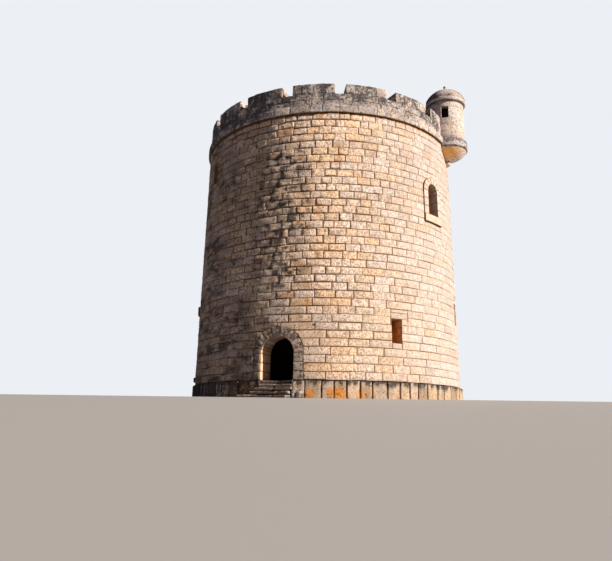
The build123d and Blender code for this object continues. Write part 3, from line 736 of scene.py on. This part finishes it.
# Courses of the wall, of longer stones at its foot, in three layers of two halves
LAYER_COURSES = 12
SHORT_STONE, CLEAR_OF_JOINT = 0.3, 0.11
walls = [Pile() for _ in range(6)]
joints_below = np.array([])
for course in range(COURSES):
    z0, z1 = PLINTH_TOP + COURSE * course, PLINTH_TOP + COURSE * (course + 1)
    zs = np.linspace(z0 + 0.01, z1 - 0.01, 9)
    middle = (z0 + z1) / 2
    cuts = []
    for opening in openings:
        found = [e for e in (extent(opening, z) for z in zs) if e]
        if found:
            curved = opening[2] is not None and z1 > opening[2][1]
            low, high = min(e[0] for e in found), max(e[1] for e in found)
            cuts.append((opening[0] % 360, low, high, opening, curved))
    cuts.sort(key=lambda c: c[0])
    typical = 0.95 - 0.36 * smooth(course / COURSES, 0.15, 0.62)
    layer = min(2, course // LAYER_COURSES) * 2

    shift = rng.uniform(0, 5)
    runs = [(None, None, shift, shift + 360)]
    if cuts:
        runs = [(here, after, here[0], after[0] + (360 if after[0] <= here[0] else 0))
                for here, after in zip(cuts, cuts[1:] + cuts[:1])]
    joints_here = []
    for here, after, start, stop in runs:
        first, last = stones_end(here, start, 1), stones_end(after, stop, 0)
        marks = [max(first(z) for z in zs)]
        end = min(last(z) for z in zs)
        while True:
            mark = marks[-1] + typical * rng.uniform(0.72, 1.35)
            apart = np.abs((joints_below - mark + TURN / 2) % TURN - TURN / 2)
            if len(apart) and apart.min() < CLEAR_OF_JOINT:
                mark += 0.16
            if mark > end - SHORT_STONE:
                break
            marks.append(mark)
        marks.append(end)
        joints_here += marks
        ends = [first, *marks[1:-1], last]
        for mark, u0, u1 in zip(marks, ends, ends[1:]):
            a = mark / ARC % 360
            worn = wall_wear(a, middle)
            sunny = near(a, 85, 75)
            tint = wall_tint(a, middle)
            proud = rng.uniform(0.016, 0.028) + 0.024 * worn
            gap = (rng.uniform(0.005, 0.012) + 0.005 * worn) * (1 - 0.5 * sunny)
            face(walls[layer + int(a >= 180)], on_wall, u0, u1, z0, z1, tint, proud=proud, gap=gap,
                 rough=0.008 + 0.022 * worn, step=0.11 - 0.04 * worn,
                 bevel=(0.013 + 0.022 * worn) * (1 - 0.5 * sunny), fade=0.5 * sunny, seed=course * 7)
    joints_below = np.array(joints_here)

    # Stones that fill the courses under and over what an opening takes
    for azim, low, high, opening, curved in cuts:
        if curved:
            continue
        levels = sorted({z0, z1, *[z for rect in opening[1] for z in rect[2:] if z0 < z < z1]})
        for bottom, top in zip(levels, levels[1:]):
            taken = extent(opening, (bottom + top) / 2)
            for left, right in [(low, high)] if taken is None else [(low, taken[0]), (taken[1], high)]:
                if right - left > 0.06 and top - bottom > 0.05:
                    face(walls[layer + int(azim >= 180)], on_wall, to_u(azim, left, bottom),
                         to_u(azim, right, bottom), bottom, top, wall_tint(azim, bottom), seed=course)

for i, pile in enumerate(walls):
    pile.build(f"wall_blocks_{i + 1}", ashlar, wall_weather_and_ring_shadow, "ashlar")


def opening_stones(pile, azim, inner, outer, foot, springing, wedges, depth, proud, pick):
    """Jambs and arch stones round an opening, as whole stones."""
    lip = 0.018
    band = outer - inner
    tall = (springing - foot) / JAMB_ROWS
    for side in (-1, 1):
        for row in range(JAMB_ROWS):
            x0 = inner - lip if side > 0 else -outer
            place = at_wall(azim, x0, proud - depth, foot + tall * row + JOINT / 2)
            block(pile, place, (band + lip, depth, tall - JOINT), stone(pick), bevel=0.016, seed=row + side)
    mean = (inner + outer) / 2
    marks = np.linspace(-90, 90, wedges + 1)
    marks[1:-1] += rng.uniform(-0.1, 0.1, wedges - 1) * 180 / wedges
    for i, mark in enumerate(marks[:-1]):
        def place(p, mark=mark):
            t = np.radians(mark) + (JOINT / 2 + p[..., 0]) / mean
            rad = inner - lip + p[..., 2]
            bent = points(rad * np.sin(t), p[..., 1], rad * np.cos(t))
            return at_wall(azim, 0, proud - depth, springing)(bent)

        width = math.radians(marks[i + 1] - mark) * mean - JOINT
        block(pile, place, (width, depth, band + lip), stone(pick), bevel=0.014, rough=0.005, seed=i * 3)


# Doorway, arched windows, lintels and jutting stones
door = Pile()
opening_stones(door, 0.0, DOOR_IN, DOOR_OUT, PLINTH_TOP, DOOR_SPRING, DOOR_WEDGES, FOOT_R - ROOM_R,
               DOOR_PROUD, DOOR)
door.build("door_stones", dressed, door_weather_and_painted_light, "dressed_stone")

windows = Pile()
for a in WINDOW_AZ:
    opening_stones(windows, a, WINDOW_IN, WINDOW_OUT, WINDOW_FOOT, WINDOW_SPRING, WINDOW_WEDGES, WINDOW_DEPTH,
                   WINDOW_PROUD + SKIN, WINDOW)
    place = at_wall(a, -WINDOW_OUT - OVERLAP, SILL_PROUD + SKIN - WINDOW_DEPTH, WINDOW_FOOT - SILL_H + 0.004)
    block(windows, place, (WINDOW_OUT * 2 + OVERLAP * 2, WINDOW_DEPTH, SILL_H - 0.006), stone(WINDOW),
          bevel=0.022)
windows.build("window_stones", window_mat, window_weather_and_bounce_light, "dressed_stone")

lintels = Pile()
for k, (a, sill) in enumerate(SLITS, 1):
    head = sill + SLIT_H
    place = at_wall(a, -LINTEL_LEFT + JOINT / 2, LINTEL_PROUD - LINTEL_DEPTH, head - OVERLAP)
    block(lintels, place, (LINTEL_LEFT + LINTEL_RIGHT - JOINT, LINTEL_DEPTH, LINTEL_H), wall_tint(a, head),
          bevel=0.016, rough=0.005, seed=k)
for width, tall, level in JUT_STONES:
    place = at_wall(JUT_AZ, -width / 2 - OVERLAP, -JUT_IN, PLINTH_TOP + level - OVERLAP)
    block(lintels, place, (width + OVERLAP * 2, JUT_DEPTH, tall + OVERLAP * 2), stone(WORN), bevel=0.07,
          rough=0.012, step=0.06)
lintels.build("lintel_stones", ashlar, wall_weather_and_ring_shadow, "dressed_stone")

# Stones that line the slit windows, coloured with a painted warm bounce light that is brighter on the sunny
# side; the orange deep in them is painted bounce light too
reveals = Pile()
for a, sill in SLITS:
    sun_side_light = 0.2 + 0.8 * smooth(math.sin(math.radians(a)), -0.3, 0.3)
    inner = ROOM_R if sill < STOREY - 0.1 else UPPER_ROOM_R
    for side in (-1, 1):
        def place(u, v, out, a=a, side=side):
            return sideways(a, side * (SLIT_W / 2 - out), u, v)

        for row in range(SLIT_ROWS):
            foot, head = sill + SLIT_H * row / SLIT_ROWS, sill + SLIT_H * (row + 1) / SLIT_ROWS
            cuts = (inner, inner + 0.45 + 0.15 * (row % 2), wall_r(head) - 0.012)
            for near_end, far_end in zip(cuts, cuts[1:]):
                face(reveals, place, near_end, far_end, foot, head, REVEAL_BOUNCE_LIGHT * sun_side_light * rng.uniform(0.8, 1.1),
                     proud=0.010, gap=0.003, bevel=0.006, flip=side < 0, seed=row)
reveals.build("slit_reveals", ashlar, window_weather_and_bounce_light, "dressed_stone")


def round_face(pile, radius, z0, z1, length, pick, inward=False, start=0.0, stop=360.0, centre=0.0, **more):
    """A course of stones round an upright cylinder, or along part of it."""
    arc = radius * math.pi / 180
    count = max(1, round((stop - start) * arc / length))
    marks = np.linspace(start, stop, count + 1)
    marks[1:-1] += rng.uniform(-0.14, 0.14, count - 1) * (stop - start) / count

    def place(u, v, out):
        return spot(u / arc, radius - out if inward else radius + out, v) + [centre, 0, 0]

    for u0, u1 in zip(marks * arc, marks[1:] * arc):
        face(pile, place, u0, u1, z0, z1, stone(pick), flip=inward, seed=int(z0 * 9), **more)


def turret_half(radius, reach):
    """Half the azimuth that a circle round the turret's axis takes from a circle round the tower's."""
    return math.degrees(math.acos((radius ** 2 + TURRET_X ** 2 - reach ** 2) / (2 * radius * TURRET_X)))


# Ring moulding
ring = Pile()
trim = turret_half(RING_R, TURRET_RING_R)
round_face(ring, RING_R, WALL_TOP, RING_TOP, 0.85, CREST, start=90 + trim, stop=450 - trim, proud=0.045,
           gap=0.003, rough=0.008, bevel=0.022)
ring.build("ring_blocks", crest, crest_weather, "ashlar")

# Parapet, inside and out
parapet = Pile()
tall = (PARAPET_TOP - RING_TOP) / PARAPET_ROWS
for row in range(PARAPET_ROWS):
    for inward, radius in ((False, PARAPET_R), (True, PARAPET_IN)):
        trim = turret_half(radius, TURRET_R) + 0.2
        round_face(parapet, radius, RING_TOP + tall * row, RING_TOP + tall * (row + 1), 0.7, CREST,
                   inward=inward, start=90 + trim, stop=450 - trim, proud=0.018, gap=0.004, rough=0.011,
                   bevel=0.012, step=0.08)
parapet.build("parapet_blocks", *PARAPET_LOOK)

# Merlons of whole stones, and thin slabs in the gaps between them
merlons, slabs = Pile(), Pile()
arc = (PARAPET_R - PARAPET_DEPTH / 2) * math.pi / 180
clear = turret_half(PARAPET_R, TURRET_R) + 0.4
for k in range(MERLONS):
    a0 = MERLON_START + MERLON_PITCH * k + MERLON_GAP / 2
    a1 = a0 + MERLON_PITCH - MERLON_GAP
    if a0 < 90 < a1 + MERLON_GAP:
        a1 = 90 - clear
    elif a0 - MERLON_GAP < 90 + clear < a1:
        a0 = 90 + clear
    count = max(2, round((a1 - a0) * arc / 0.5))
    marks = np.linspace(a0, a1, count + 1)
    marks[1:-1] += rng.uniform(-0.7, 0.7, count - 1)
    for i in range(count):
        tall = MERLON_TOP - PARAPET_TOP + 0.036 + rng.uniform(-0.01, 0.006)
        wide = (marks[i + 1] - marks[i]) * arc + (0.028 if i == count - 1 else 0.004)
        place = at_ring(arc, marks[i] * arc - 0.014, PARAPET_IN - 0.024, PARAPET_TOP - 0.01)
        block(merlons, place, (wide, PARAPET_DEPTH + 0.054, tall), stone(CREST), bevel=0.022, rough=0.009,
              step=0.1, seed=k * 5 + i, skip=("bottom",))
    if not 80 < a0 - MERLON_GAP / 2 < 100:
        place = at_ring(arc, (a0 - MERLON_GAP + 0.1) * arc, PARAPET_IN - 0.010, PARAPET_TOP - 0.03)
        block(slabs, place, ((MERLON_GAP - 0.2) * arc, PARAPET_DEPTH + 0.02, 0.04), stone(CREST), bevel=0.012,
              rough=0.004, seed=k, skip=("bottom",))
merlons.build("merlon_blocks", *PARAPET_LOOK)
slabs.build("embrasure_slabs", *PARAPET_LOOK)


def paving(name, reach, level, size, material):
    """Square slabs over a round floor."""
    pile = Pile()
    rows = round(2 * reach / size)

    def side(v):
        return math.sqrt(max(0, reach ** 2 - v ** 2))

    def place(u, v, out):
        return points(u, v, level + out)

    for row in range(rows):
        v0, v1 = -reach + 2 * reach * row / rows, -reach + 2 * reach * (row + 1) / rows
        short = min(side(v0 + 0.02), side(v1 - 0.02))
        inner = np.arange(-short + rng.uniform(0.3, 0.6), short - 0.3, size * 1.3) if short > size else []
        cuts = [lambda v: -side(v), *inner, side]
        if max(side(v0), side(v1)) > 0.3:
            for left, right in zip(cuts, cuts[1:]):
                face(pile, place, left, right, v0, v1, stone(WORN), proud=0.008, rough=0.003, step=0.2,
                     bevel=0.004, seed=row)
    pile.build(name, material, floor_weather, "floor_stone")


paving("terrace_slabs", PARAPET_IN - 0.02, RING_TOP, 0.62, floor_mat)

# Sentry turret: coursed drum, mouldings, bowl, cap and finial
turret = Pile()
for row, (low, high) in enumerate(zip(TURRET_LEVELS, TURRET_LEVELS[1:])):
    holes = []
    if high <= TURRET_DOOR_TOP:
        holes.append(TURRET_DOOR)
    if LOOPHOLE_FOOT <= low < LOOPHOLE_TOP:
        holes += LOOPHOLES
    halves = [(a, math.degrees(math.asin(half / TURRET_R))) for a, half in holes]
    spans = sorted((a - half, a + half) for a, half in halves)
    runs = [(s[1], t[0] if t[0] > s[1] else t[0] + 360) for s, t in zip(spans, spans[1:] + spans[:1])]
    for start, stop in runs or [(row * 23.0, row * 23.0 + 360)]:
        round_face(turret, TURRET_R, RING_TOP + low, RING_TOP + high, 0.72, SMOOTH, start=start, stop=stop,
                   centre=TURRET_X, proud=0.007, gap=0.002, bevel=0.002, fade=0.5, step=0.08)
DOME_STEPS = 12
spring = CORNICE_TOP + CAP_BAND
curve = (CAP_R ** 2 + (CAP_TOP - spring) ** 2) / (2 * (CAP_TOP - spring))
dome = [(CAP_R, CORNICE_TOP + 0.01), (CAP_R, spring)]
for k in range(1, DOME_STEPS + 1):
    t = math.asin(CAP_R / curve) * (1 - k / DOME_STEPS)
    dome.append((curve * math.sin(t), CAP_TOP - curve + curve * math.cos(t)))
turned(turret, dome, 8, SMOOTH, proud=0.007, seed=4, start=20, stop=380)
turret.build("turret_blocks", *TURRET_LOOK)

cornice = Pile()
belly = (CORNICE_R - 0.008, TURRET_TOP + (CORNICE_TOP - TURRET_TOP) * CORNICE_SHARE)
roll = arc_through((TURRET_R + 0.002, TURRET_TOP), belly, (CAP_R, CORNICE_TOP), 10)
back = [(TURRET_IN, CORNICE_TOP), (TURRET_IN, TURRET_TOP), (TURRET_R, TURRET_TOP)]
turned(cornice, roll + back, 8, SMOOTH, proud=0.002, seed=3)
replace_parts(cornice.build("cornice_stones", *TURRET_LOOK), "turret_cornice")

# Bowl and knob under the turret, turned as far as they stand out of the wall
corbel = Pile()
bowl_r, bowl_rise = TURRET_R + TURRET_RING_OUT - CORBEL_IN, TURRET_RING_FOOT - CORBEL_FOOT
belly = (CORBEL_TOE + (bowl_r - CORBEL_TOE) * CORBEL_BOWL, TURRET_RING_FOOT - bowl_rise * CORBEL_BOWL)
bowl = arc_through((CORBEL_TOE, CORBEL_FOOT), belly, (bowl_r, TURRET_RING_FOOT), 12)
turned(corbel, [(0.0, CORBEL_FOOT), *bowl], 1, SMOOTH, seed=1, start=-35, stop=215)
belly = (PENDANT_R, (PENDANT_FOOT + CORBEL_FOOT) / 2)
knob = arc_through((0.001, PENDANT_FOOT), belly, (PENDANT_R / 2, CORBEL_FOOT), 12)
turned(corbel, knob, 1, SMOOTH, seed=2, start=270, stop=630)
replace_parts(corbel.build("corbel_bowl", *TURRET_LOOK), "turret_corbel", "turret_pendant")

moulding = Pile()
soft = TURRET_RING_BEVEL
edge = TURRET_RING_R - 0.004
rim = [(0.0, TURRET_RING_FOOT), (edge - 0.02, TURRET_RING_FOOT), (edge, TURRET_RING_FOOT + 0.02)]
shoulder = [(edge, TURRET_RING_TOP - soft), (edge - soft * 0.3, TURRET_RING_TOP - soft * 0.3)]
head = [(edge - soft, TURRET_RING_TOP), (0.0, TURRET_RING_TOP)]
turned(moulding, rim + shoulder + head, 8, SMOOTH, proud=-0.002, rough=0.002, seed=5)
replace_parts(moulding.build("turret_moulding", *TURRET_LOOK), "turret_ring")

finial = Pile()
BALL_STEPS = 8
ball = FINIAL_TOP - FINIAL_R - 0.003
base = [(0.19, CAP_TOP - 0.03), (0.15, CAP_TOP + 0.03)]
knob = [*base, (FINIAL_NECK + 0.03, CAP_TOP + 0.08), (FINIAL_NECK, ball - FINIAL_R * 0.8)]
for k in range(1, BALL_STEPS + 1):
    t = math.pi * (k / BALL_STEPS - 0.5) * 0.999
    knob.append((max(FINIAL_R * math.cos(t), 0.001), ball + FINIAL_R * math.sin(t)))
turned(finial, knob, 1, SMOOTH, rough=0.002, seed=6)
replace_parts(finial.build("finial_ball", turret_mat, window_weather_and_bounce_light, "turret_stone"), "turret_finial")

# Plinth of upright stones over a dark core, with a plain cheek on each side of the doorway
plinth = Pile()
arc = PLINTH_R * math.pi / 180
door_gap = math.degrees(math.asin(DOOR_IN / PLINTH_R))
marks = [door_gap]
while marks[-1] < 360 - door_gap - 8.2:
    marks.append(marks[-1] + rng.uniform(*PLINTH_STONE_W))
marks[-1] = 360 - door_gap
for i in range(len(marks) - 1):
    top = PLINTH_TOP - rng.uniform(0.0, 0.02)
    inset = rng.uniform(0.002, 0.03)
    split = rng.uniform(0.008, 0.055)
    place = at_ring(arc, marks[i] * arc + split / 2, PLINTH_R - PLINTH_STONE_DEPTH - inset, 0)
    block(plinth, place, ((marks[i + 1] - marks[i]) * arc - split, PLINTH_STONE_DEPTH, top), stone(PLINTH),
          bevel=0.035, rough=0.013, step=0.1, seed=i, skip=("bottom", "back"))
core_a = np.linspace(door_gap, 360 - door_gap, 181)
core_line = ((PLINTH_R - 0.12, 0.0), (PLINTH_R - 0.12, PLINTH_TOP - 0.05), (ROOM_R, PLINTH_TOP - 0.05))
plinth.add(np.stack([spot(core_a, r, z) for r, z in core_line], 1), DARK * 0.3)
for side in (-1, 1):
    cheek = [[(DOOR_IN * side, y, z) for z in (0, PLINTH_TOP)] for y in (-PLINTH_R + 0.06, -ROOM_R + 0.02)]
    plinth.add(np.array(cheek, float), GREY * 0.8, flip=side > 0)
plinth_obj = plinth.build("plinth_stones", plinth_mat, plinth_weather, "plinth_stone")
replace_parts(plinth_obj, "plinth_1", "plinth_2", "plinth_3", "plinth_4")

# Threshold, steps and the rough stone beside them: name, count of stones, bevel and roughness
STEP_STONES = (
    ("threshold", 2, 0.015, 0.004), ("step_1", 2, 0.03, 0.008), ("step_2", 2, 0.035, 0.010),
    ("step_3", 3, 0.035, 0.010), ("step_4", 3, 0.04, 0.010), ("step_cheek", 2, 0.09, 0.022),
)
steps = Pile()
for name, parts, bevel, rough in STEP_STONES:
    low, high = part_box(name)
    width, depth = high.x - low.x, high.y - low.y
    marks = np.linspace(0, width, parts + 1)
    marks[1:-1] += rng.uniform(-0.08, 0.08, parts - 1) * width
    for i in range(parts):
        head = high.z - (0.0 if name == "threshold" else rng.uniform(0, 0.012))
        head = head - (0.14 * i if name == "step_cheek" else 0)

        def place(p, low=low, high=high, depth=depth, x0=low.x + marks[i]):
            x = x0 + p[..., 0]
            sag = 0.025 * np.exp(-(x / 0.5) ** 2) * smooth(p[..., 1], 0.0, depth) * (p[..., 2] > 0.08)
            return points(x + 0.002, high.y - p[..., 1], low.z + p[..., 2] - sag)

        block(steps, place, (marks[i + 1] - marks[i] - 0.006, depth - 0.002, head - low.z),
              stone(SMOOTH if name == "step_cheek" else WORN), bevel=bevel, rough=rough, step=0.08,
              seed=i + int(low.z * 50), skip=("bottom",))
steps_obj = steps.build("step_blocks", step_mat, step_weather_and_painted_light, "step_stone")
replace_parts(steps_obj, "threshold", "step_1", "step_2", "step_3", "step_4", "step_cheek")


def to_space(azim, height):
    """The direction of an azimuth and a height in degrees."""
    a, h = math.radians(azim), math.radians(height)
    return Vector((math.sin(a) * math.cos(h), -math.cos(a) * math.cos(h), math.sin(h)))


# Pale ground that falls away toward the camera behind a straight brow
BROW, FALL, BACK, FRONT, REACH = 8.45, 0.088, -90, 60, 120
toward_camera = to_space(CAMERA_AZ, 0)
across = Vector((toward_camera.y, -toward_camera.x, 0))
profile = [(BACK, 0), (BROW, 0), *[(BROW + s, -FALL * (s - 0.5)) for s in (1, 4, FRONT)]]
verts = [toward_camera * s + across * t + Vector((0, 0, z)) for s, z in profile for t in (-REACH, REACH)]
quads = [(k, k + 1, k + 3, k + 2) for k in range(0, len(verts) - 2, 2)]
mesh = bpy.data.meshes.new("floor")
mesh.from_pydata(verts, [], quads, shade_flat=False)
floor = placed("floor", mesh)
ground = bpy.data.materials.new("ground")
ground_shader = Graph(ground).nodes["Principled BSDF"]
ground_shader.inputs["Base Color"].default_value = (0.43, 0.425, 0.42, 1)
ground_shader.inputs["Roughness"].default_value = 0.9
mesh.materials.append(ground)

# Studio: a pale backdrop, a soft fill and one warm key light from the right
BACKDROP, FILL, FILL_STRENGTH = (0.84, 0.87, 0.91, 1), (0.49, 0.465, 0.72, 1), 0.17
KEY_TURN, KEY_HEIGHT, KEY_STRENGTH, KEY_COLOUR = 63, 27, 6.2, (1.0, 0.895, 0.765)
world = bpy.data.worlds.new("studio")
bpy.context.scene.world = world
g = Graph(world)
fill = g.node("Background", {"Color": FILL, "Strength": FILL_STRENGTH}).outputs[0]
seen = g.node("Background", {"Color": BACKDROP, "Strength": 1.0}).outputs[0]
camera_ray = g.node("LightPath").outputs["Is Camera Ray"]
background = g.node("MixShader", {0: camera_ray, 1: fill, 2: seen}).outputs[0]
g.feed(background, g.nodes["World Output"].inputs["Surface"])

sun = bpy.data.lights.new("key", "SUN")
sun.energy = KEY_STRENGTH
sun.angle = math.radians(2)
sun.color = KEY_COLOUR
key = placed("key", sun)
key.rotation_mode = "QUATERNION"
key.rotation_quaternion = to_space(CAMERA_AZ + KEY_TURN, KEY_HEIGHT).to_track_quat("Z", "Y")

# Camera, at the photograph's place
FOCAL, WIDTH, SENSOR = 656.08, 612, 36
DISTANCE, CAMERA_Z = 35.918, PLINTH_TOP - 2.0106
YAW, PITCH, ROLL = -0.0335, 0.2194, 0.0141
stand = Matrix.Translation(toward_camera * DISTANCE + Vector((0, 0, CAMERA_Z)))
turn = Matrix.Rotation(math.radians(CAMERA_AZ) - YAW, 4, "Z")
tilt = Matrix.Rotation(math.pi / 2 + PITCH, 4, "X")
lens = bpy.data.cameras.new("camera")
lens.lens = FOCAL / WIDTH * SENSOR
lens.sensor_width = SENSOR
lens.sensor_fit = "HORIZONTAL"
lens.clip_end = 500
camera = placed("camera", lens)
camera.matrix_world = stand @ turn @ tilt @ Matrix.Rotation(ROLL, 4, "Z")
bpy.context.scene.camera = camera
bpy.context.scene.view_settings.view_transform = "Standard"
